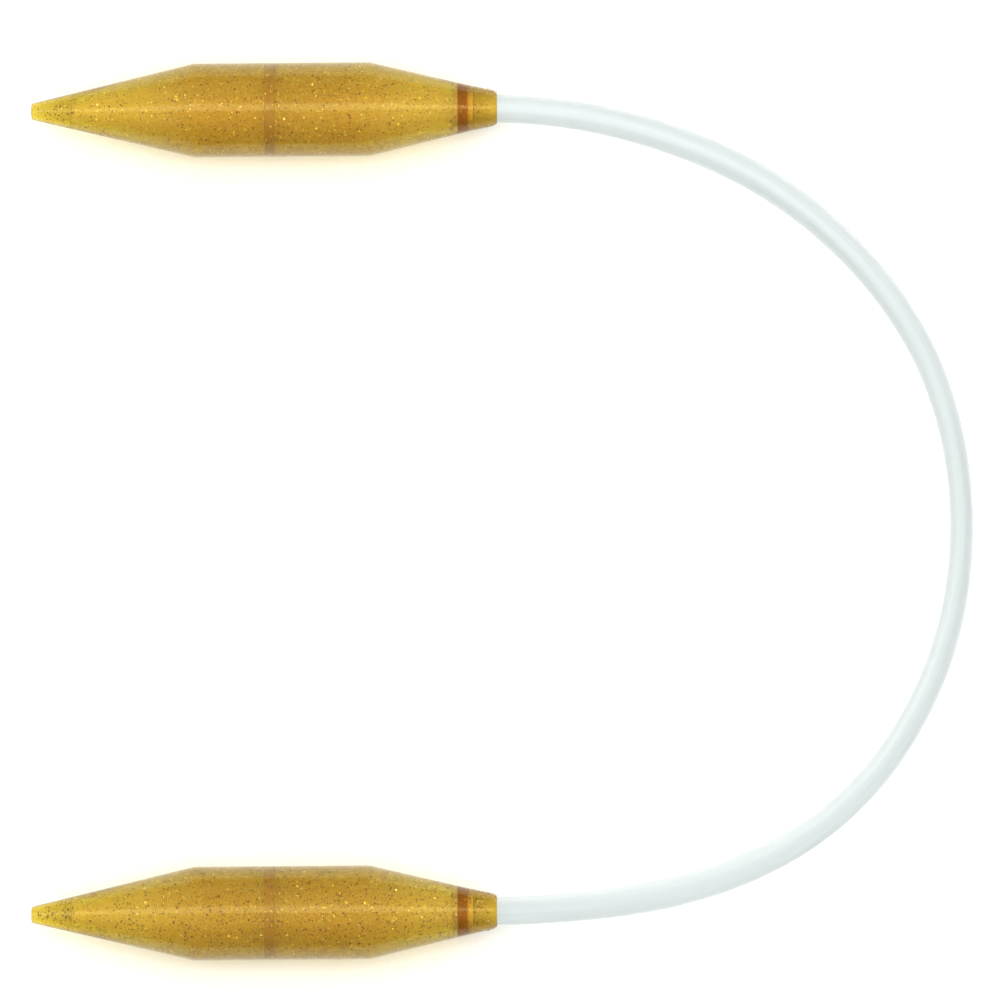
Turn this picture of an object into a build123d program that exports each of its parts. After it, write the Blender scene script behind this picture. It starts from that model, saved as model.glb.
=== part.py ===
from build123d import *
import math
import os

# A circular knitting needle of the jumbo sort: two hollow amber plastic points of 15 mm, joined by
# a springy plastic tube. It lies on a table with both points towards -X, needle A on the +Y side
# and needle B on the -Y side, and the tube makes a U beyond their rear ends. Millimetres, +Z up,
# with the origin on the table midway between the two needles.

# ---- driving dimensions -------------------------------------------------------------------
BARREL_RADIUS = 7.5       # half of the 15 mm needle size
NEEDLE_LENGTH = 74.5      # from the tip to the rim round the tube
SPREAD = 128.5            # between the axes of the two needles
STAGGER = 1.0             # needle A lies this much further back than needle B

# stations along a needle, from its tip
SOLID_TIP = 6.5           # the point is solid up to here
NOSE_END = 26.0           # the front cone becomes the barrel
SEAM = 39.0               # the two shells meet
TAIL_START = 54.15        # the barrel becomes the rear cone
RING_START = 68.2
RING_END = 69.8

TIP_RADIUS = 1.275        # the blunt end of the point
TIP_ROUNDING = 0.5
TAPER = 0.24              # radius lost per millimetre of either cone
SHOULDER_ROUNDING = 4.0   # where a cone runs into the barrel
RIM_RADIUS = 2.75
RIM_ROUNDING = 0.4
WALL = 1.6

# glued joints
GLUE_GAP = 0.05
LAP_LENGTH = 1.6          # of the rear shell's spigot inside the tip shell
LAP_RADIUS = 6.7
LAP_END_GAP = 0.1
MOUTH_RADIUS = 3.1        # of the hole in the rear shell and the ring, for the cap's spigot
MOUTH_DEPTH = 1.0
MOUTH_END_GAP = 0.1

# the tube and how its ends are held
TUBE_RADIUS = 2.25
TUBE_BORE_RADIUS = 1.5
CAP_CLEARANCE = 0.05      # round the tube in the cap
TUBE_END = 70.6           # the tube begins here, inside the cap
HEAD_RADIUS = 2.5         # the plug's head, too wide for the cap's bore
HEAD_LENGTH = 1.4
STEM_RADIUS = 1.25
BARB_RADIUS = 1.48
BARB_PITCH = 1.1
BARB_LENGTH = 0.66
BARB_COUNT = 3
STEM_END_RADIUS = 0.9
STEM_END_LENGTH = 0.3

# the tube's route from needle A round to needle B, with the two ends left out: it leaves each
# needle in line with it, comes down to the table, and goes round unevenly, fuller on B's side
ROUTE = [
    (43.8, 64.25, 7.5),
    (59.8, 61.3, 6.7),
    (76.2, 55.1, 5.0),
    (88.6, 46.8, 3.5),
    (99.0, 36.3, 2.6),
    (106.5, 24.4, 2.3),
    (110.8, 11.2, 2.3),
    (112.2, -3.1, 2.3),
    (110.6, -17.4, 2.3),
    (106.2, -30.2, 2.3),
    (98.6, -42.6, 2.6),
    (88.0, -52.4, 3.4),
    (75.0, -58.9, 4.9),
    (60.6, -62.6, 6.7),
    (43.0, -64.25, 7.5),
]
ARC_SHARE = 0.45          # of the shorter run, on each side of a corner

# ---- worked out from the above ------------------------------------------------------------
CONE_ANGLE = math.atan(TAPER)
WALL_ACROSS_CONE = WALL / math.cos(CONE_ANGLE)
CAVITY_RADIUS = BARREL_RADIUS - WALL
CAVITY_TIP_RADIUS = TIP_RADIUS + TAPER * SOLID_TIP - WALL_ACROSS_CONE
CAVITY_NOSE_END = (CAVITY_RADIUS + WALL_ACROSS_CONE - TIP_RADIUS) / TAPER
CAVITY_TAIL_START = TAIL_START + (BARREL_RADIUS - WALL_ACROSS_CONE - CAVITY_RADIUS) / TAPER

NEEDLES = {
    "needle_a": (STAGGER / 2, SPREAD / 2),
    "needle_b": (-STAGGER / 2, -SPREAD / 2),
}


def tail_radius(station):
    """Outer radius of the rear cone at a station behind the barrel."""
    return BARREL_RADIUS - TAPER * (station - TAIL_START)


def tip_position(needle):
    """Where the needle's tip is: its axis lies one barrel radius above the table."""
    middle_x, axis_y = NEEDLES[needle]
    return (middle_x - NEEDLE_LENGTH / 2, axis_y, BARREL_RADIUS)


def needle_plane(needle):
    """Plane through the needle's axis: x runs from the tip to the rear, y is the radius."""
    return Plane(origin=tip_position(needle), x_dir=(1, 0, 0), z_dir=(0, 0, 1))


def needle_axis(needle):
    return Axis(tip_position(needle), (1, 0, 0))


def round_corner(sketch, station, radius, rounding):
    """Round the profile's corner at a station and radius."""
    corner = sketch.vertices().sort_by_distance((station, radius))[0]
    fillet(corner, rounding)


def revolve_profile(needle, points, roundings=()):
    """Turn a closed profile of (station, radius) points round the needle's axis."""
    with BuildPart() as turned:
        with BuildSketch(needle_plane(needle)) as profile:
            with BuildLine():
                Polyline(*points, close=True)
            make_face()
            for station, radius, rounding in roundings:
                round_corner(profile, station, radius, rounding)
        revolve(axis=needle_axis(needle))
    return turned


# ---- the pieces of one needle ---------------------------------------------------------------
def make_tip_shell(needle):
    """Blunt point, front cone and front of the barrel: hollow behind the solid tip, and with a
    socket at the seam for the rear shell's spigot."""
    points = [
        (0, 0),
        (0, TIP_RADIUS),
        (NOSE_END, BARREL_RADIUS),
        (SEAM, BARREL_RADIUS),
        (SEAM, LAP_RADIUS),
        (SEAM - LAP_LENGTH, LAP_RADIUS),
        (SEAM - LAP_LENGTH, CAVITY_RADIUS),
        (CAVITY_NOSE_END, CAVITY_RADIUS),
        (SOLID_TIP, CAVITY_TIP_RADIUS),
        (SOLID_TIP, 0),
    ]
    roundings = [
        (0, TIP_RADIUS, TIP_ROUNDING),
        (NOSE_END, BARREL_RADIUS, SHOULDER_ROUNDING),
    ]
    return revolve_profile(needle, points, roundings)


def make_rear_shell(needle):
    """Rear of the barrel and the rear cone: a spigot at the seam, and a mouth for the cap."""
    spigot_radius = LAP_RADIUS - GLUE_GAP
    spigot_start = SEAM - LAP_LENGTH + LAP_END_GAP
    mouth_start = RING_START - MOUTH_DEPTH
    points = [
        (spigot_start, CAVITY_RADIUS),
        (spigot_start, spigot_radius),
        (SEAM, spigot_radius),
        (SEAM, BARREL_RADIUS),
        (TAIL_START, BARREL_RADIUS),
        (RING_START, tail_radius(RING_START)),
        (RING_START, MOUTH_RADIUS),
        (mouth_start, MOUTH_RADIUS),
        (mouth_start, tail_radius(mouth_start) - WALL_ACROSS_CONE),
        (CAVITY_TAIL_START, CAVITY_RADIUS),
    ]
    roundings = [(TAIL_START, BARREL_RADIUS, SHOULDER_ROUNDING)]
    return revolve_profile(needle, points, roundings)


def make_collar_ring(needle):
    """Darker ring between the rear shell and the cap, flush with the cone."""
    points = [
        (RING_START, MOUTH_RADIUS),
        (RING_START, tail_radius(RING_START)),
        (RING_END, tail_radius(RING_END)),
        (RING_END, MOUTH_RADIUS),
    ]
    return revolve_profile(needle, points)


def make_end_cap(needle):
    """Cap that closes the rear end: its spigot goes through the ring into the rear shell, and
    its bore holds the tube, with a wider chamber in front for the plug's head."""
    spigot_radius = MOUTH_RADIUS - GLUE_GAP
    spigot_start = RING_START - MOUTH_DEPTH + MOUTH_END_GAP
    chamber_radius = HEAD_RADIUS + GLUE_GAP
    bore_radius = TUBE_RADIUS + CAP_CLEARANCE
    points = [
        (spigot_start, chamber_radius),
        (spigot_start, spigot_radius),
        (RING_END, spigot_radius),
        (RING_END, tail_radius(RING_END)),
        (NEEDLE_LENGTH, RIM_RADIUS),
        (NEEDLE_LENGTH, bore_radius),
        (TUBE_END, bore_radius),
        (TUBE_END, chamber_radius),
    ]
    roundings = [(NEEDLE_LENGTH, RIM_RADIUS, RIM_ROUNDING)]
    return revolve_profile(needle, points, roundings)


def make_cord_plug(needle):
    """Plug in the tube's end: a head that can't pass the cap's bore, and a barbed stem that is
    pushed into the tube."""
    head_start = TUBE_END - HEAD_LENGTH
    points = [
        (head_start, 0),
        (head_start, HEAD_RADIUS),
        (TUBE_END, HEAD_RADIUS),
        (TUBE_END, STEM_RADIUS),
    ]
    for barb in range(1, BARB_COUNT + 1):
        barb_end = TUBE_END + barb * BARB_PITCH
        points.append((barb_end - BARB_LENGTH, STEM_RADIUS))
        points.append((barb_end - BARB_LENGTH, BARB_RADIUS))
        points.append((barb_end, STEM_RADIUS))
    stem_end = TUBE_END + BARB_COUNT * BARB_PITCH + STEM_END_LENGTH
    points.append((stem_end, STEM_END_RADIUS))
    points.append((stem_end, 0))
    return revolve_profile(needle, points)


# ---- the tube -------------------------------------------------------------------------------
def tube_start(needle):
    tip_x, axis_y, axis_z = tip_position(needle)
    return (tip_x + TUBE_END, axis_y, axis_z)


def route_radii(points):
    """Arc radius at each corner: as large as the shorter of its two runs allows."""
    radii = []
    for before, corner, after in zip(points, points[1:], points[2:]):
        run_in = Vector(*corner) - Vector(*before)
        run_out = Vector(*after) - Vector(*corner)
        half_turn = math.radians(run_in.get_angle(run_out)) / 2
        shorter = min(run_in.length, run_out.length)
        radii.append(ARC_SHARE * shorter / math.tan(half_turn))
    return radii


def make_cord():
    """The springy tube, whole, from the plug's head in needle A to the one in needle B."""
    points = [tube_start("needle_a"), *ROUTE, tube_start("needle_b")]
    radii = route_radii(points)
    with BuildPart() as tube:
        with BuildLine() as path:
            FilletPolyline(*points, radius=radii)
        with BuildSketch(Plane(origin=points[0], z_dir=(1, 0, 0))):
            Circle(TUBE_RADIUS)
            Circle(TUBE_BORE_RADIUS, mode=Mode.SUBTRACT)
        sweep(path=path.wire())
    length = path.wire().length
    section = math.pi * (TUBE_RADIUS**2 - TUBE_BORE_RADIUS**2)
    print("tube: corner radii", [round(radius, 1) for radius in radii])
    print(f"tube: length {length:.1f}, of which {length - 2 * (NEEDLE_LENGTH - TUBE_END):.1f} shows")
    print(f"tube: volume {tube.part.volume:.1f}, section times length {section * length:.1f}")
    return tube


# ---- make and write every piece -------------------------------------------------------------
PIECES = {
    "tip_shell": make_tip_shell,
    "rear_shell": make_rear_shell,
    "collar_ring": make_collar_ring,
    "end_cap": make_end_cap,
    "cord_plug": make_cord_plug,
}

os.makedirs("parts", exist_ok=True)

for needle in NEEDLES:
    for piece_name, make_piece in PIECES.items():
        piece = make_piece(needle)
        piece.part.label = f"{needle}_{piece_name}"
        export_step(piece.part, f"parts/{piece.part.label}.step")

cord = make_cord()
cord.part.label = "cord"
export_step(cord.part, "parts/cord.step")
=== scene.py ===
import math

import bpy
import numpy as np
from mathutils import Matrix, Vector


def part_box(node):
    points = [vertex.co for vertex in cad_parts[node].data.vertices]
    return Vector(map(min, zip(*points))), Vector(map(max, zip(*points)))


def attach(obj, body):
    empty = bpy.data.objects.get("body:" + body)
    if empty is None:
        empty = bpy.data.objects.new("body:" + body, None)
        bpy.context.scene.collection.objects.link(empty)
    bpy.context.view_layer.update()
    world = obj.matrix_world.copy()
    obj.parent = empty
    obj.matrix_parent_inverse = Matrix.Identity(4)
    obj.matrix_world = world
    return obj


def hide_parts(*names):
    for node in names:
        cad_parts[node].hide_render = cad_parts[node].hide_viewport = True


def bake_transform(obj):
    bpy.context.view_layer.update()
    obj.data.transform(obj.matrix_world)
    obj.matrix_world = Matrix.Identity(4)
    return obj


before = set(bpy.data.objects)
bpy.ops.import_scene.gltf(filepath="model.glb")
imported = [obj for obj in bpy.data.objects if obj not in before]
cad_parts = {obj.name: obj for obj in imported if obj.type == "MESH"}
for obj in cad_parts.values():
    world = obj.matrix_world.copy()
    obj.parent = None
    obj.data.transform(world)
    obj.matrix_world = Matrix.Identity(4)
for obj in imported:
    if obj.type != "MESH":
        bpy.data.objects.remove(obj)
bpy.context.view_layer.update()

# A jumbo circular knitting needle: two hollow amber points and the springy clear tube between
# them, lying on a pale sweep. Metres, +Z up, points towards -X.

MM = 0.001
NEEDLES = ("needle_a", "needle_b")

# ---- the points' section, in millimetres along and out from the axis ------------------------
BARREL_RADIUS = 7.5
NEEDLE_LENGTH = 74.5
SOLID_TIP = 6.5
NOSE_END = 26.0
SEAM = 39.0
TAIL_START = 54.15
RING_START = 68.2
RING_END = 69.8
TIP_RADIUS = 1.275
TAPER = 0.24
RIM_RADIUS = 2.75
WALL = 1.6
LAP_LENGTH = 1.6
LAP_RADIUS = 6.7
MOUTH_RADIUS = 3.1
MOUTH_DEPTH = 1.0
GLUE_GAP = 0.05
END_GAP = 0.1

TUBE_END = 70.6
TUBE_RADIUS = 2.25
TUBE_BORE_RADIUS = 1.5
TUBE_GIRTH = 14.14
CAP_CLEARANCE = 0.05
HEAD_RADIUS = 2.5
HEAD_LENGTH = 1.4
STEM_RADIUS = 1.25
BARB_RADIUS = 1.48
BARB_PITCH = 1.1
BARB_LENGTH = 0.66
BARB_COUNT = 3
STEM_END_RADIUS = 0.9
STEM_END_LENGTH = 0.3

# a face this far inside the outline counts as the core side
CORE_DEPTH = 0.3

# glitter flakes, in millimetres
FLAKE_SPAN = (0.8, 73.2)
FLAKE_SIZES = (0.055, 0.125)
LARGE_FLAKE_EXTRA = 0.07
LARGE_FLAKE_SHARE = 0.15
FLAKE_HALF_THICKNESS = 0.012
FLAKE_DEPTHS = (0.12, 0.88)
FLAKE_LEAN = 0.22
FLAKE_GAP_AT_JOINTS = 0.2
FLAKE_CROWDING = 1.4
# each point's number of flakes, and the power that paints more of them dark, a painted shade for
# flakes turned away from the light: needle B gets the more dark flakes
FLAKES = {"needle_a": (7200, 1.15), "needle_b": (9600, 2.6)}

WALL_ACROSS_CONE = WALL * math.hypot(1, TAPER)
CAVITY_RADIUS = BARREL_RADIUS - WALL
CAVITY_TIP_RADIUS = TIP_RADIUS + TAPER * SOLID_TIP - WALL_ACROSS_CONE
CAVITY_NOSE_END = (CAVITY_RADIUS + WALL_ACROSS_CONE - TIP_RADIUS) / TAPER
CAVITY_TAIL_START = TAIL_START + (WALL - WALL_ACROSS_CONE) / TAPER

# the middle of both barrels along X, in metres
BARREL_MIDDLE_X = 0.0023

# ---- the tube's route, in metres, between its ends in the two caps --------------------------
ROUTE = [
    (0.0438, 0.06425, 0.0075),
    (0.0598, 0.0613, 0.0067),
    (0.0762, 0.0551, 0.0050),
    (0.0886, 0.0468, 0.0035),
    (0.0990, 0.0363, 0.0026),
    (0.1065, 0.0244, 0.0023),
    (0.1108, 0.0112, 0.0023),
    (0.1122, -0.0031, 0.0023),
    (0.1106, -0.0174, 0.0023),
    (0.1062, -0.0302, 0.0023),
    (0.0986, -0.0426, 0.0026),
    (0.0880, -0.0524, 0.0034),
    (0.0750, -0.0589, 0.0049),
    (0.0606, -0.0626, 0.0067),
    (0.0430, -0.06425, 0.0075),
]
# the tube flattens where it bends: (share of its length, width across the bend in millimetres)
TUBE_WIDTHS = [
    (0.0, 4.5), (0.05, 4.5), (0.19, 4.68), (0.34, 4.2), (0.43, 3.75), (0.51, 3.58),
    (0.61, 3.95), (0.69, 4.05), (0.77, 4.45), (0.84, 4.8), (0.95, 4.5), (1.0, 4.5),
]


# ---- materials ------------------------------------------------------------------------------
def linear(code):
    """An sRGB hex colour as linear RGBA."""
    values = [int(code[i:i + 2], 16) / 255 for i in (1, 3, 5)]
    return [v / 12.92 if v <= 0.04045 else ((v + 0.055) / 1.055) ** 2.4 for v in values] + [1.0]


def new_material(name):
    """An empty node material with its output node."""
    material = bpy.data.materials.new(name)
    material.use_nodes = True
    material.node_tree.nodes.clear()
    return material, material.node_tree.nodes.new("ShaderNodeOutputMaterial")


def add(material, kind, settings=(), links=()):
    """Adds a node: settings are (property or input, value), links are (input, output socket).
    The setting called stops gives a colour ramp its (position, sRGB hex colour) stops."""
    node = material.node_tree.nodes.new(kind)
    for name, value in settings:
        if name == "stops":
            elements = node.color_ramp.elements
            while len(elements) < len(value):
                elements.new(0.5)
            for element, (position, code) in zip(elements, value):
                element.position = position
                element.color = linear(code)
        elif isinstance(name, str) and hasattr(node, name):
            setattr(node, name, value)
        else:
            node.inputs[name].default_value = value
    for name, source in links:
        material.node_tree.links.new(source, node.inputs[name])
    return node


def let_light_by(material, surface, output, tint):
    """Joins a clear surface to the output so that lamps shine through it instead of leaving a
    solid shadow: shadow rays meet a tinted transparent surface."""
    way = add(material, "ShaderNodeLightPath")
    passing = add(material, "ShaderNodeBsdfTransparent", [("Color", linear(tint))])
    both = add(material, "ShaderNodeMixShader",
               links=[(0, way.outputs["Is Shadow Ray"]), (1, surface.outputs["BSDF"]),
                      (2, passing.outputs["BSDF"])])
    material.node_tree.links.new(both.outputs["Shader"], output.inputs["Surface"])


def amber_plastic(name, body_tint, depth_tint, depth_mm, clarity, painted_cone_light=0.0):
    """Moulded translucent plastic in amber: a polished outside that mirrors the lamps, a duller
    core side that clouds what lies behind it, and a colour that deepens with the thickness light
    passes. Faint flow marks from the mould. A cemented lap is browner and matt. The last setting
    paints the cones paler than the barrel, a painted light for the brighter light through the
    narrower cones, with a little painted shade nearer the barrel's middle."""
    material, output = new_material(name)
    place = add(material, "ShaderNodeTexCoord")
    # flow marks about 17 mm long and 3 mm wide
    along = add(material, "ShaderNodeMapping", [("Scale", (60, 320, 320))],
                [("Vector", place.outputs["Object"])])
    flow = add(material, "ShaderNodeTexNoise",
               [("Scale", 1.0), ("Detail", 4.0), ("Roughness", 0.6)],
               [("Vector", along.outputs["Vector"])])
    share = add(material, "ShaderNodeMath", [("operation", "MULTIPLY"), (1, 0.3)],
                [(0, flow.outputs["Fac"])])
    # mica dust too fine to see flake by flake, about 0.35 mm between clumps
    dust = add(material, "ShaderNodeTexNoise", [("Scale", 2800.0), ("Detail", 3.0)],
               [("Vector", place.outputs["Object"])])
    mixed = add(material, "ShaderNodeMath", [("operation", "MULTIPLY_ADD"), (1, 0.7)],
                [(0, dust.outputs["Fac"]), (2, share.outputs["Value"])])
    # painted light and shade: the colour pales between 10 and 24 mm from the barrel's middle,
    # standing in for the brighter light through the narrower cones, and is a little darker nearer the
    # middle
    split = add(material, "ShaderNodeSeparateXYZ", links=[("Vector", place.outputs["Object"])])
    offset = add(material, "ShaderNodeMath", [("operation", "SUBTRACT"), (1, BARREL_MIDDLE_X)],
                 [(0, split.outputs["X"])])
    away = add(material, "ShaderNodeMath", [("operation", "ABSOLUTE")],
               [(0, offset.outputs["Value"])])
    painted_cone_light_ramp = add(material, "ShaderNodeMapRange",
               [("interpolation_type", "SMOOTHSTEP"), ("From Min", 0.010), ("From Max", 0.024),
                ("To Min", -0.25 * painted_cone_light), ("To Max", painted_cone_light)],
               [("Value", away.outputs["Value"])])
    shade = add(material, "ShaderNodeMath", [("operation", "ADD")],
                [(0, mixed.outputs["Value"]), (1, painted_cone_light_ramp.outputs["Result"])])
    tint = add(material, "ShaderNodeValToRGB",
               [("stops", [(0.36, body_tint[0]), (0.64, body_tint[1])])],
               [("Fac", shade.outputs["Value"])])
    lap = add(material, "ShaderNodeAttribute", [("attribute_name", "lap")])
    cement = add(material, "ShaderNodeMix", [("data_type", "RGBA"), (7, linear("#ae8220"))],
                 [(0, lap.outputs["Fac"]), (6, tint.outputs["Color"])])
    # moulded skin, about 0.5 mm between the waves of its orange peel
    peel = add(material, "ShaderNodeTexNoise", [("Scale", 2000.0), ("Detail", 2.0)],
               [("Vector", place.outputs["Object"])])
    bump = add(material, "ShaderNodeBump", [("Strength", 0.03), ("Distance", 0.0001)],
               [("Height", peel.outputs["Fac"])])
    core = add(material, "ShaderNodeAttribute", [("attribute_name", "core_side")])
    haze = add(material, "ShaderNodeMath", [("operation", "MULTIPLY_ADD"), (1, 0.3), (2, 0.13)],
               [(0, core.outputs["Fac"])])
    rough = add(material, "ShaderNodeMath", [("operation", "MULTIPLY_ADD"), (1, 0.03)],
                [(0, flow.outputs["Fac"]), (2, haze.outputs["Value"])])
    clear = add(material, "ShaderNodeMath", [("operation", "MULTIPLY_ADD"), (1, -0.35), (2, clarity)],
                [(0, lap.outputs["Fac"])])
    # the mica just under the skin warms what it mirrors
    surface = add(material, "ShaderNodeBsdfPrincipled",
                  [("IOR", 1.49), ("Specular Tint", linear("#f3f0bc"))],
                  [("Base Color", cement.outputs[2]), ("Normal", bump.outputs["Normal"]),
                   ("Roughness", rough.outputs["Value"]),
                   ("Transmission Weight", clear.outputs["Value"])])
    depth = add(material, "ShaderNodeVolumeAbsorption",
                [("Color", linear(depth_tint)), ("Density", 1 / (depth_mm * MM))])
    let_light_by(material, surface, output, "#f0f0ee")
    material.node_tree.links.new(depth.outputs["Volume"], output.inputs["Volume"])
    return material


def clear_tube_plastic():
    """Extruded soft clear plastic, faintly milky: painted shade darkens its top and bottom and
    painted light brightens its two sides, long die lines run along it and drift round it, and it is
    too matt to mirror a lamp."""
    material, output = new_material("extruded_milky_tube")
    strip = add(material, "ShaderNodeUVMap", [("uv_map", "tube")])
    # die lines about 2 mm wide and 180 mm long
    drawn = add(material, "ShaderNodeMapping", [("Scale", (1.0, 0.012, 1.0))],
                [("Vector", strip.outputs["UV"])])
    lines = add(material, "ShaderNodeTexNoise", [("Scale", 0.45), ("Detail", 2.0)],
                [("Vector", drawn.outputs["Vector"])])
    # the strip's first coordinate is millimetres round the tube: painted shade along the top and
    # bottom, painted light along the two sides, which seen from above are the edges
    split = add(material, "ShaderNodeSeparateXYZ", links=[("Vector", strip.outputs["UV"])])
    turn = add(material, "ShaderNodeMath", [("operation", "MULTIPLY"), (1, 4 * math.pi / TUBE_GIRTH)],
               [(0, split.outputs["X"])])
    sides = add(material, "ShaderNodeMath", [("operation", "COSINE")], [(0, turn.outputs["Value"])])
    painted_side_light = add(material, "ShaderNodeMath", [("operation", "MULTIPLY_ADD"), (1, 0.2), (2, 0.05)],
               [(0, sides.outputs["Value"])])
    die_lines_and_painted_light = add(material, "ShaderNodeMath", [("operation", "MULTIPLY_ADD"), (1, 0.9)],
               [(0, lines.outputs["Fac"]), (2, painted_side_light.outputs["Value"])])
    # the tint carries the die lines together with the painted light and shade round the tube
    tint = add(material, "ShaderNodeValToRGB", [("stops", [(0.25, "#ced4d7"), (0.72, "#edf2f4")])],
               [("Fac", die_lines_and_painted_light.outputs["Value"])])
    rough = add(material, "ShaderNodeMapRange",
                [("From Min", 0.3), ("From Max", 0.7), ("To Min", 0.28), ("To Max", 0.42)],
                [("Value", lines.outputs["Fac"])])
    surface = add(material, "ShaderNodeBsdfPrincipled",
                  [("IOR", 1.36), ("Transmission Weight", 0.5), ("Specular IOR Level", 0.1)],
                  [("Base Color", tint.outputs["Color"]), ("Roughness", rough.outputs["Result"])])
    let_light_by(material, surface, output, "#e4eaea")
    return material


def natural_nylon():
    """Moulded natural nylon: off-white, waxy and slightly clear."""
    material, output = new_material("moulded_natural_nylon")
    place = add(material, "ShaderNodeTexCoord")
    # a waxy grain of about 0.7 mm
    grain = add(material, "ShaderNodeTexNoise", [("Scale", 1500.0), ("Detail", 2.0)],
                [("Vector", place.outputs["Object"])])
    tint = add(material, "ShaderNodeValToRGB", [("stops", [(0.3, "#d9cfb4"), (0.7, "#e8e0ca")])],
               [("Fac", grain.outputs["Fac"])])
    surface = add(material, "ShaderNodeBsdfPrincipled",
                  [("Roughness", 0.4), ("Subsurface Weight", 0.3), ("Subsurface Scale", 0.0005)],
                  [("Base Color", tint.outputs["Color"])])
    material.node_tree.links.new(surface.outputs["BSDF"], output.inputs["Surface"])
    return material


def glitter_foil():
    """Lacquered glitter foil: some flakes are bright gold and flash, the rest are painted dark brown,
    a painted shade for flakes turned away from the light, and read as dark specks. Each flake
    carries its own value on the ramp."""
    material, output = new_material("lacquered_glitter_foil")
    tone = add(material, "ShaderNodeAttribute", [("attribute_name", "tone")])
    # painted shade: the ramp's dark brown end stands in for flakes turned away from the light; its
    # gold end is the foil's own colour
    tint = add(material, "ShaderNodeValToRGB",
               [("stops", [(0.0, "#6c420e"), (0.5, "#b6842a"), (0.56, "#f0d48a"), (1.0, "#fff4cc")])],
               [("Fac", tone.outputs["Fac"])])
    surface = add(material, "ShaderNodeBsdfPrincipled", [("Metallic", 0.45), ("Roughness", 0.35)],
                  [("Base Color", tint.outputs["Color"])])
    material.node_tree.links.new(surface.outputs["BSDF"], output.inputs["Surface"])
    return material


def pale_sweep():
    """Matt white paper sweep with a very faint tooth."""
    material, output = new_material("white_paper_sweep")
    place = add(material, "ShaderNodeTexCoord")
    # paper tooth drawn at about 1 mm, coarser than the real one
    tooth = add(material, "ShaderNodeTexNoise", [("Scale", 900.0), ("Detail", 3.0)],
                [("Vector", place.outputs["Object"])])
    tint = add(material, "ShaderNodeValToRGB", [("stops", [(0.3, "#f7f7f6"), (0.7, "#fbfbfb")])],
               [("Fac", tooth.outputs["Fac"])])
    surface = add(material, "ShaderNodeBsdfPrincipled", [("Roughness", 0.9)],
                  [("Base Color", tint.outputs["Color"])])
    material.node_tree.links.new(surface.outputs["BSDF"], output.inputs["Surface"])
    return material


# ---- meshes ---------------------------------------------------------------------------------
def mesh_piece(name, points, faces, material):
    """A smooth mesh object, its points in the frame's metres."""
    mesh = bpy.data.meshes.new(name)
    mesh.from_pydata(points.tolist(), [], faces)
    mesh.shade_smooth()
    mesh.materials.append(material)
    piece = bpy.data.objects.new(name, mesh)
    bpy.context.scene.collection.objects.link(piece)
    return piece


def grid_faces(rows, columns, wrap_rows=False):
    """Quads of a grid of points, closed across its columns and, if asked, across its rows."""
    last = rows if wrap_rows else rows - 1
    row, column = np.meshgrid(np.arange(last), np.arange(columns), indexing="ij")
    below = (row + 1) % rows
    beside = (column + 1) % columns
    corners = [row * columns + column, row * columns + beside,
               below * columns + beside, below * columns + column]
    return np.stack(corners, axis=-1).reshape(-1, 4)


def rounded_profile(corners, steps=4, support=0.25, run=2.0):
    """A closed section with its corners rounded: each corner (station, radius, rounding) becomes
    an arc tangent to its two sides, drawn as a quadratic curve from one tangent point to the
    other, and the sides between get points near their ends and every run millimetres."""
    count = len(corners)
    place = np.array([c[:2] for c in corners], float)
    bevel = np.array([c[2] if len(c) > 2 else 0.08 for c in corners], float)
    ahead = np.roll(place, -1, axis=0) - place
    side = np.linalg.norm(ahead, axis=1)
    ahead /= side[:, None]
    behind = -np.roll(ahead, 1, axis=0)
    half = np.arccos(np.clip((ahead * behind).sum(axis=1), -1, 1)) / 2
    reach = np.minimum(bevel / np.tan(half), 0.4 * np.minimum(side, np.roll(side, 1)))
    on_axis = place[:, 1] < 1e-9
    reach[on_axis] = 0
    outline = []
    for i in range(count):
        into, out = place[i] + behind[i] * reach[i], place[i] + ahead[i] * reach[i]
        if reach[i] > 0:
            t = np.linspace(0, 1, steps + 1)[:, None]
            outline.append((1 - t) ** 2 * into + 2 * t * (1 - t) * place[i] + t**2 * out)
        else:
            outline.append(place[i:i + 1])
        nxt = (i + 1) % count
        if on_axis[i] and on_axis[nxt]:
            continue
        end = place[nxt] + behind[nxt] * reach[nxt]
        length = np.linalg.norm(end - out)
        inner = np.arange(1, max(1, round(length / run))) * run
        marks = np.unique(np.concatenate([[min(support, length / 3)], inner[inner < length - support],
                                          [max(length - support, length * 2 / 3)]]))
        outline.append(out + ahead[i] * marks[:, None])
    return np.concatenate(outline)


def tip_of(needle):
    """The needle's tip on its axis, in metres, from the frame."""
    low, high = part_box(f"{needle}_tip_shell")
    return np.array([low[0], (low[1] + high[1]) / 2, (low[2] + high[2]) / 2])


def mark_faces(mesh, ring, bands, around):
    """Marks the faces of a turned piece: core_side where they lie deeper than CORE_DEPTH inside
    the point's outline, lap where they belong to the cemented lap at the seam."""
    total = len(mesh.polygons)
    span = np.stack([ring, np.roll(ring, -1, axis=0)]) / MM
    station, radius = span.mean(axis=0).T
    core = radius < wall_at(station)[1] - CORE_DEPTH
    lap = core & (station > SEAM - LAP_LENGTH) & (station < SEAM) & (radius > LAP_RADIUS - 0.1)
    for label, mark in (("core_side", core), ("lap", lap)):
        values = np.zeros(total, np.float32)
        values[:bands * around] = np.repeat(mark[:bands], around)
        mesh.attributes.new(label, "FLOAT", "FACE").data.foreach_set("value", values)


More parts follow.
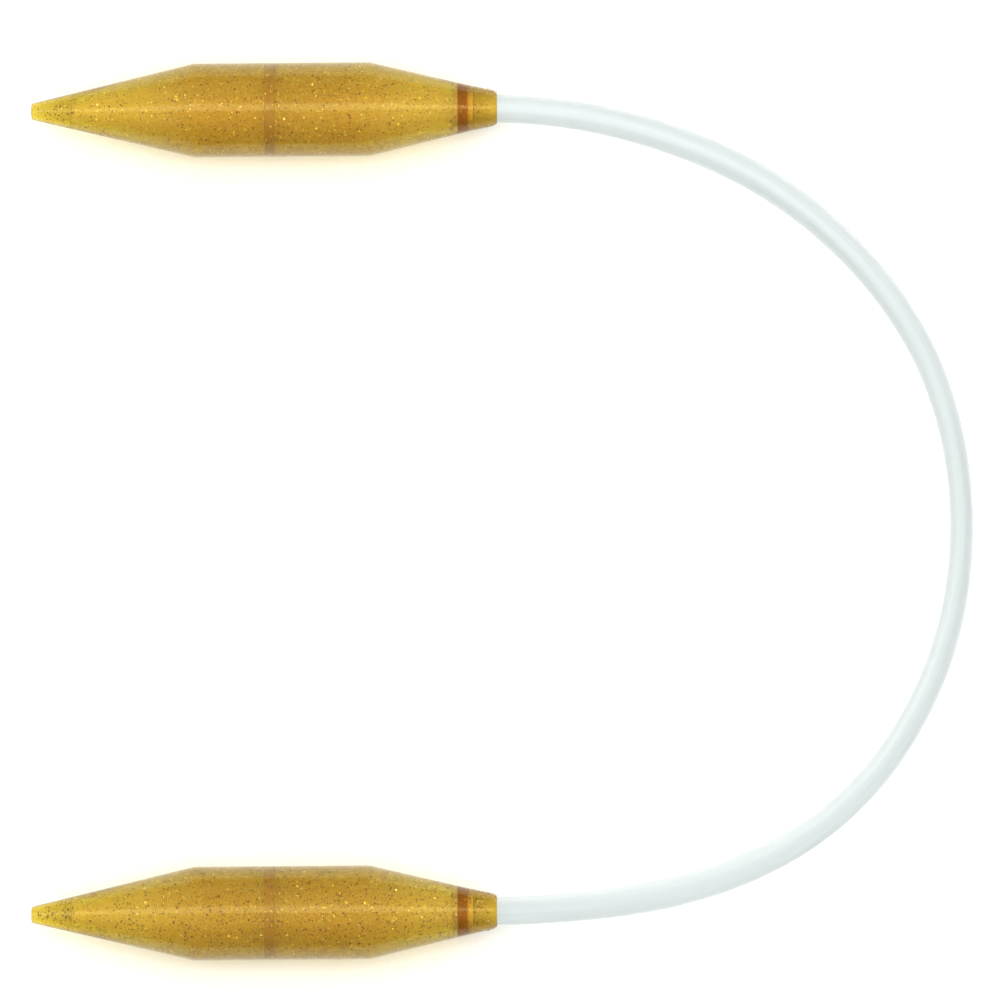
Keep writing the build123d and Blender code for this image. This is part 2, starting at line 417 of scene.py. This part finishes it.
def turned(name, needle, corners, material, around=128):
    """A section turned round the needle's axis: point (s, r) at angle a goes to the tip plus
    (s, r cos a, r sin a). A section that starts and ends on the axis closes at its poles."""
    outline = rounded_profile(corners) * MM
    polar = corners[0][1] == 0
    angle = np.linspace(0, 2 * np.pi, around, endpoint=False)
    ring = outline[1:-1] if polar else outline
    station = np.repeat(ring[:, :1], around, axis=1)
    points = np.stack([station, ring[:, 1:] * np.cos(angle), ring[:, 1:] * np.sin(angle)], axis=-1)
    points = points.reshape(-1, 3)
    faces = grid_faces(len(ring), around, wrap_rows=not polar).tolist()
    if polar:
        poles = len(points)
        points = np.concatenate([points, [[outline[0, 0], 0, 0], [outline[-1, 0], 0, 0]]])
        here = np.arange(around)
        beside = (here + 1) % around
        last = (len(ring) - 1) * around
        faces += np.stack([np.full(around, poles), beside, here], axis=1).tolist()
        faces += np.stack([np.full(around, poles + 1), last + here, last + beside], axis=1).tolist()
    piece = mesh_piece(name, points + tip_of(needle), faces, material)
    mark_faces(piece.data, ring, len(ring) - polar, around)
    return piece


# ---- the pieces of a point ------------------------------------------------------------------
def tail_radius(station):
    """Outer radius of the rear cone at a station behind the barrel."""
    return BARREL_RADIUS - TAPER * (station - TAIL_START)


TIP_SHELL = [
    (0, 0), (0, TIP_RADIUS, 0.5), (NOSE_END, BARREL_RADIUS, 4.0), (SEAM, BARREL_RADIUS, 0.1),
    (SEAM, LAP_RADIUS), (SEAM - LAP_LENGTH, LAP_RADIUS), (SEAM - LAP_LENGTH, CAVITY_RADIUS),
    (CAVITY_NOSE_END, CAVITY_RADIUS, 4.0), (SOLID_TIP, CAVITY_TIP_RADIUS, 0.5), (SOLID_TIP, 0),
]
SPIGOT_START = SEAM - LAP_LENGTH + END_GAP
MOUTH_START = RING_START - MOUTH_DEPTH
REAR_SHELL = [
    (SPIGOT_START, CAVITY_RADIUS), (SPIGOT_START, LAP_RADIUS - GLUE_GAP),
    (SEAM, LAP_RADIUS - GLUE_GAP), (SEAM, BARREL_RADIUS, 0.1), (TAIL_START, BARREL_RADIUS, 4.0),
    (RING_START, tail_radius(RING_START), 0.06), (RING_START, MOUTH_RADIUS),
    (MOUTH_START, MOUTH_RADIUS), (MOUTH_START, tail_radius(MOUTH_START) - WALL_ACROSS_CONE),
    (CAVITY_TAIL_START, CAVITY_RADIUS, 4.0),
]
COLLAR_RING = [
    (RING_START, MOUTH_RADIUS), (RING_START, tail_radius(RING_START), 0.06),
    (RING_END, tail_radius(RING_END), 0.06), (RING_END, MOUTH_RADIUS),
]
END_CAP = [
    (MOUTH_START + END_GAP, HEAD_RADIUS + GLUE_GAP), (MOUTH_START + END_GAP, MOUTH_RADIUS - GLUE_GAP),
    (RING_END, MOUTH_RADIUS - GLUE_GAP), (RING_END, tail_radius(RING_END), 0.06),
    (NEEDLE_LENGTH - 0.6, RIM_RADIUS + 0.12, 0.35), (NEEDLE_LENGTH - 0.1, RIM_RADIUS - 0.18, 0.3),
    (NEEDLE_LENGTH, TUBE_RADIUS + CAP_CLEARANCE + 0.1, 0.05),
    (NEEDLE_LENGTH - 0.1, TUBE_RADIUS + CAP_CLEARANCE, 0.05),
    (TUBE_END, TUBE_RADIUS + CAP_CLEARANCE), (TUBE_END, HEAD_RADIUS + GLUE_GAP),
]


def plug_section():
    """Head, then a stem with barbs that rise at once and fall away towards the stem's end."""
    section = [(TUBE_END - HEAD_LENGTH, 0), (TUBE_END - HEAD_LENGTH, HEAD_RADIUS),
               (TUBE_END, HEAD_RADIUS), (TUBE_END, STEM_RADIUS)]
    for barb in range(1, BARB_COUNT + 1):
        end = TUBE_END + barb * BARB_PITCH
        section += [(end - BARB_LENGTH, STEM_RADIUS), (end - BARB_LENGTH, BARB_RADIUS, 0.03),
                    (end, STEM_RADIUS)]
    stem_end = TUBE_END + BARB_COUNT * BARB_PITCH + STEM_END_LENGTH
    return section + [(stem_end, STEM_END_RADIUS), (stem_end, 0)]


def wall_at(station):
    """Inner and outer radius of a point's wall at stations along it, in millimetres."""
    outer = np.minimum(BARREL_RADIUS, np.minimum(TIP_RADIUS + TAPER * station, tail_radius(station)))
    inner = np.where(station < SOLID_TIP + 0.3, 0, outer - WALL_ACROSS_CONE)
    inner = np.where(station > MOUTH_START, MOUTH_RADIUS + 0.1, inner)
    return inner, outer


def glitter(name, needle, count, dark_flake_power, rng, material):
    """Foil flakes set in the wall: six-sided plates, 12 points each. A flake's centre is at a
    random station (the thicker the point there, the more), depth in the wall and angle, and its face
    leans from the wall by a random tilt, as flakes do that the moulding flow has laid down. Each
    flake's value on the foil's ramp is a random share raised to the given power, so a higher power
    gives more dark flakes, a painted shade for flakes turned away from the light."""
    trial = rng.uniform(*FLAKE_SPAN, count * 4)
    girth = wall_at(trial)[1]
    from_joint = np.abs(trial[:, None] - np.array([SEAM, RING_START, RING_END])).min(axis=1)
    apart = from_joint > FLAKE_GAP_AT_JOINTS
    chance = (girth / BARREL_RADIUS) ** FLAKE_CROWDING
    station = trial[apart & (rng.uniform(0, 1, len(trial)) < chance)][:count]
    inner, outer = wall_at(station)
    deep = rng.uniform(*FLAKE_DEPTHS, len(station))
    radius = inner + (outer - inner) * deep
    angle = rng.uniform(0, 2 * np.pi, len(station))
    zeros = np.zeros(len(station))
    centre = np.stack([station, radius * np.cos(angle), radius * np.sin(angle)], axis=1)
    out = np.stack([zeros, np.cos(angle), np.sin(angle)], axis=1)
    lean = rng.normal(0, FLAKE_LEAN, (len(station), 3))
    face = out + lean
    face /= np.linalg.norm(face, axis=1)[:, None]
    across = np.cross(face, rng.normal(0, 1, (len(station), 3)))
    across /= np.linalg.norm(across, axis=1)[:, None]
    other = np.cross(face, across)
    size = rng.uniform(*FLAKE_SIZES, len(station))
    size += LARGE_FLAKE_EXTRA * (rng.uniform(0, 1, len(station)) < LARGE_FLAKE_SHARE)
    size = size[:, None, None]
    turn = np.arange(6) * np.pi / 3
    hexagon = across[:, None] * np.cos(turn)[:, None] + other[:, None] * np.sin(turn)[:, None]
    hexagon *= size
    thick = FLAKE_HALF_THICKNESS * face[:, None]
    points = centre[:, None] + np.concatenate([hexagon - thick, hexagon + thick], axis=1)
    first = np.arange(len(station))[:, None] * 12
    faces = (first + np.array([5, 4, 3, 2, 1, 0])).tolist() + (first + np.arange(6, 12)).tolist()
    for k in range(6):
        faces += (first + np.array([k, (k + 1) % 6, 6 + (k + 1) % 6, 6 + k])).tolist()
    piece = mesh_piece(name, points.reshape(-1, 3) * MM + tip_of(needle), faces, material)
    piece.data.shade_flat()
    # painted shade: a higher power gives more flakes the dark end of the foil's ramp
    tone = (rng.uniform(0, 1, len(station)) ** dark_flake_power).astype(np.float32)
    flake = np.concatenate([np.arange(len(station))] * 8)
    piece.data.attributes.new("tone", "FLOAT", "FACE").data.foreach_set("value", tone[flake])
    return piece


# ---- the tube -------------------------------------------------------------------------------
def tube_end(needle):
    """Where the tube ends on the needle's axis, against the plug's head."""
    return tuple(tip_of(needle) + np.array([TUBE_END * MM, 0, 0]))


def route_line(points):
    """Points of the smooth NURBS line that has the route's points as its control points."""
    curve = bpy.data.curves.new("tube_route", "CURVE")
    curve.dimensions = "3D"
    spline = curve.splines.new("NURBS")
    spline.points.add(len(points) - 1)
    spline.points.foreach_set("co", np.c_[np.array(points), np.ones(len(points))].ravel())
    spline.order_u = 3
    spline.use_endpoint_u = True
    spline.resolution_u = 12
    holder = bpy.data.objects.new("tube_route", curve)
    line = bpy.data.meshes.new_from_object(holder)
    found = np.empty(len(line.vertices) * 3)
    line.vertices.foreach_get("co", found)
    bpy.data.objects.remove(holder)
    bpy.data.curves.remove(curve)
    bpy.data.meshes.remove(line)
    return found.reshape(-1, 3)


def make_tube(material, around=48):
    """The tube's wall carried along its line. At share s of the length, the section is an oval:
    centre + side * half_width(s) cos a + up * radius sin a, outside from one end to the other,
    then back inside, so that the two end rims close it."""
    line = route_line([tube_end("needle_a"), *ROUTE, tube_end("needle_b")])
    step = np.linalg.norm(np.diff(line, axis=0), axis=1)
    run = np.concatenate([[0], np.cumsum(step)])
    share = run / run[-1]
    ahead = np.gradient(line, run, axis=0)
    ahead[0], ahead[-1] = (1, 0, 0), (-1, 0, 0)
    ahead /= np.linalg.norm(ahead, axis=1)[:, None]
    side = np.cross(ahead, (0, 0, 1))
    side /= np.linalg.norm(side, axis=1)[:, None]
    up = np.cross(side, ahead)
    # the widths, eased by a running mean over a tenth of the length
    stations, widths = np.array(TUBE_WIDTHS).T
    fine = np.linspace(0, 1, 401)
    padded = np.pad(np.interp(fine, stations, widths), 20, "edge")
    soft = np.convolve(padded, np.ones(41) / 41, "valid")
    squeeze = np.interp(share, fine, soft) / (2 * TUBE_RADIUS)
    angle = np.linspace(0, 2 * np.pi, around, endpoint=False)
    wide, high = np.cos(angle), np.sin(angle)

    def skin(radius):
        oval = squeeze[:, None, None] * side[:, None] * wide[:, None] + up[:, None] * high[:, None]
        return line[:, None] + oval * radius * MM

    points = np.concatenate([skin(TUBE_RADIUS), skin(TUBE_BORE_RADIUS)[::-1]])
    faces = grid_faces(len(points), around, wrap_rows=True)[:, ::-1]
    tube = mesh_piece("cord_tube", points.reshape(-1, 3), faces.tolist(), material)
    strip = tube.data.uv_layers.new(name="tube")
    corner_point = np.empty(len(tube.data.loops), int)
    tube.data.loops.foreach_get("vertex_index", corner_point)
    column = (corner_point % around).reshape(-1, 4)
    column = np.where((column.max(axis=1) == around - 1)[:, None] & (column == 0), around, column)
    girth = column.ravel() * (2 * np.pi * TUBE_RADIUS / around)
    both = np.concatenate([run, run[::-1]])
    along = both[corner_point // around] / MM
    strip.data.foreach_set("uv", np.stack([girth, along], axis=1).ravel())
    return tube, line, float(run[-1])


# ---- make everything ------------------------------------------------------------------------
# the shell's cones get painted light: a paler colour standing in for the brighter light through them
shell_plastic = amber_plastic("moulded_glitter_amber", ("#e8c85e", "#fdec9c"), "#ece700", 1.55,
                              0.92, painted_cone_light=0.12)
ring_plastic = amber_plastic("moulded_dark_amber", ("#d09a28", "#dca632"), "#d89e00", 0.8, 0.85)
cap_plastic = amber_plastic("moulded_cap_amber", ("#dab84e", "#eace6a"), "#e6da00", 1.5, 0.9)
plug_plastic = natural_nylon()
foil = glitter_foil()
tube_plastic = clear_tube_plastic()

PIECES = [
    ("tip_shell", TIP_SHELL, shell_plastic, "amber_shell"),
    ("rear_shell", REAR_SHELL, shell_plastic, "amber_shell"),
    ("collar_ring", COLLAR_RING, ring_plastic, "dark_amber_ring"),
    ("end_cap", END_CAP, cap_plastic, "amber_cap"),
    ("cord_plug", plug_section(), plug_plastic, "natural_nylon"),
]

rng = np.random.default_rng(7)
for needle in NEEDLES:
    for part, section, material, slot in PIECES:
        piece = turned(f"{needle}_{part}_finish", needle, section, material)
        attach(piece, needle)
        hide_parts(f"{needle}_{part}")
    flakes = glitter(f"{needle}_glitter", needle, *FLAKES[needle], rng, foil)
    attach(flakes, needle)

tube, tube_path, tube_length = make_tube(tube_plastic)
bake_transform(tube)
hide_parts("cord")

# ---- floor, light and camera ----------------------------------------------------------------
FLOOR_HALF = 6.0
floor_corners = np.array([(-1, -1, 0), (1, -1, 0), (1, 1, 0), (-1, 1, 0)]) * FLOOR_HALF
floor = mesh_piece("floor", floor_corners, [(0, 1, 2, 3)], pale_sweep())

LAMP_TARGET = (0.03, 0, 0)


def softbox(name, at, width, depth, power, tint="#ffffff"):
    """An area lamp aimed at the middle of the object."""
    lamp = bpy.data.lights.new(name, "AREA")
    lamp.shape = "RECTANGLE"
    lamp.size, lamp.size_y = width, depth
    lamp.energy = power
    lamp.color = linear(tint)[:3]
    holder = bpy.data.objects.new(name, lamp)
    holder.location = at
    aim = np.array(LAMP_TARGET) - np.array(at)
    holder.rotation_euler = Vector(aim).to_track_quat("-Z", "Y").to_euler()
    holder.visible_camera = False
    bpy.context.scene.collection.objects.link(holder)
    return holder


# the narrow strip draws the bright line along each point; the two large lamps give the soft
# light, and are kept out of mirror reflections so that they don't turn the amber white
softbox("overhead_strip", (0.03, 0.137, 1.0), 1.6, 0.3, 4.9, "#fff3d8")
softbox("high_softbox", (0.03, 0.05, 2.6), 4.0, 4.0, 92).visible_glossy = False
softbox("back_softbox", (0.03, 1.8, 1.5), 3.6, 1.6, 18).visible_glossy = False

world = bpy.data.worlds.new("studio")
world.use_nodes = True
world.node_tree.nodes["Background"].inputs["Color"].default_value = linear("#f1f5fa")
world.node_tree.nodes["Background"].inputs["Strength"].default_value = 0.2
bpy.context.scene.world = world

# looks straight down; each side of the view is 160 mm at the height of the points' axes
VIEW_SIDE = 0.16
CAMERA_HEIGHT = 1.5
ROLL = math.radians(-0.45)
camera = bpy.data.cameras.new("camera")
camera.lens = camera.sensor_width * (CAMERA_HEIGHT - BARREL_RADIUS * MM) / VIEW_SIDE
camera.clip_end = 20
camera_holder = bpy.data.objects.new("camera", camera)
camera_holder.location = (0.03773, 0.00154, CAMERA_HEIGHT)
camera_holder.rotation_euler = (0, 0, ROLL)
bpy.context.scene.collection.objects.link(camera_holder)
bpy.context.scene.camera = camera_holder

bpy.context.scene.view_settings.view_transform = "Standard"
bpy.context.scene.view_settings.look = "None"
